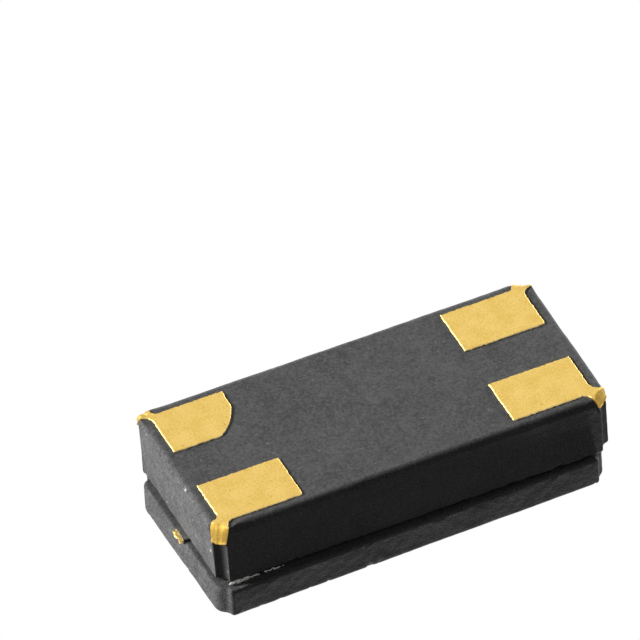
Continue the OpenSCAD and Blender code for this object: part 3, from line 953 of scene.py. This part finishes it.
def camera():
    """Long lens that looks up at the pad side, with the long side and the index end in view."""
    azimuth, elevation, roll = math.radians(202.13), math.radians(-42.57), math.radians(-176.28)
    aim = Vector((-0.192, -1.777, -0.725)) * MM
    distance = 350.74
    toward = Vector((math.sin(azimuth) * math.cos(elevation),
                     -math.cos(azimuth) * math.cos(elevation), math.sin(elevation)))
    turned = toward.to_track_quat("Z", "Y").to_matrix() @ Matrix.Rotation(-roll, 3, "Z")
    data = bpy.data.cameras.new("camera")
    data.sensor_width = 36
    data.lens = 1072
    data.clip_start = 0.02
    data.clip_end = 10
    eye = bpy.data.objects.new("camera", data)
    eye.matrix_world = Matrix.Translation(aim + toward * distance * MM) @ turned.to_4x4()
    bpy.context.scene.collection.objects.link(eye)
    bpy.context.scene.camera = eye


# ---------------------------------------------------------------- everything put together

bpy.context.scene.view_settings.view_transform = "Standard"

# The pad face and lid faces and the sides were made and worn in different ways, and so differ in
# how dark and how coarse they look. The notches' darker finish is painted shade in their hollows,
# and the paler finish on the lid's long sides is painted light.
end_x = box_mm("ceramic_base")[0].x
face_ceramic = fired_alumina("fired_black_alumina", "#3f3f3f", "#626262", "#888888",
                             grain=0.05, relief=0.006, dull=0.7)
side_ceramic = fired_alumina("snapped_black_alumina", "#383838", "#6d6d6d", "#a0a09e",
                             grain=0.04, relief=0.014, dull=0.8,
                             chips=[(Vector((end_x, y, z)), size) for y, z, size in END_CHIPS])
# A darker copy of the ceramic for the notches: painted shade.
notch_ceramic_painted_shade = fired_alumina("notch_alumina_painted_shade", "#2d2d2d", "#494949", "#70706e",
                              grain=0.04, relief=0.01, dull=0.75)
# A paler copy of the ceramic for the lid's long sides: painted light.
lid_side_ceramic_painted_light = fired_alumina("lid_side_alumina_painted_light", "#575757", "#848484", "#aeaeac",
                                 grain=0.04, relief=0.014, dull=0.8)

# Flat gold is bright and even. It is darker in the notches, which is painted shade, paler on the
# rim, which is a painted highlight, and coarse where the tie bar broke.
terminal_gold = [
    gold_plate("matt_gold_plate", "#cfad56", "#dcbf70", "#7c5e26", grain=0.04, dull=0.5),
    gold_plate("notch_gold_painted_shade", "#a88c42", "#c2a252", "#7c5e26", grain=0.03, dull=0.7),
    gold_plate("rim_gold_painted_highlight", "#cdb47c", "#e2cf9c", "#8a6a2c", grain=0.04, dull=0.4),
]
tab_gold = gold_plate("snapped_gold_tab", "#ecc876", "#f8de98", "#8a6a2c", grain=0.05, dull=0.45)
track_gold = gold_plate("printed_gold_track", "#d8ac52", "#e8c26c", "#7a5c22", grain=0.02, dull=0.4)

seam_glass = solder_glass("solder_glass", "#2e2e2f", "#454546", crack=0.3, glint=0.08)
crazed_glass = solder_glass("crazed_solder_glass", "#c4c4be", "#eeeee8", crack=0.5, glint=1)

base_block(face_ceramic, side_ceramic, notch_ceramic_painted_shade)
shelf_block(face_ceramic)
lid_block(face_ceramic, side_ceramic, lid_side_ceramic_painted_light)
terminal("pad_enable", (-1, -1), terminal_gold, depth=0.15, bead=0.05, index=True, seed=1)
terminal("pad_ground", (1, -1), terminal_gold, depth=0.3, seed=2)
terminal("pad_output", (1, 1), terminal_gold, depth=0.2, bead=0.03, seed=3)
terminal("pad_supply", (-1, 1), terminal_gold, depth=0.35, seed=4)
tie_bar(tab_gold, side_ceramic)
seal_band(seam_glass, crazed_glass)

dressed(track_gold, "track_enable", "track_ground", "track_output", "track_supply",
        "track_crystal_a", "track_crystal_b", "shelf_pad_a", "shelf_pad_b")
dressed(sintered_tungsten("sintered_tungsten"), "via_a", "via_b")
dressed(silver_filled_epoxy("silver_filled_epoxy"), "adhesive_a", "adhesive_b", "die_attach")
dressed(lapped_quartz("lapped_quartz"), "quartz_blank")
dressed(evaporated_silver("evaporated_silver"), "electrode_top", "electrode_bottom")
dressed(polished_silicon("polished_silicon"), "oscillator_die")
dressed(drawn_gold_wire("drawn_gold_wire"), "bond_wire_enable", "bond_wire_ground",
        "bond_wire_output", "bond_wire_supply", "bond_wire_crystal_a", "bond_wire_crystal_b")

studio_light()
studio_floor()
camera()

bpy.context.view_layer.update()
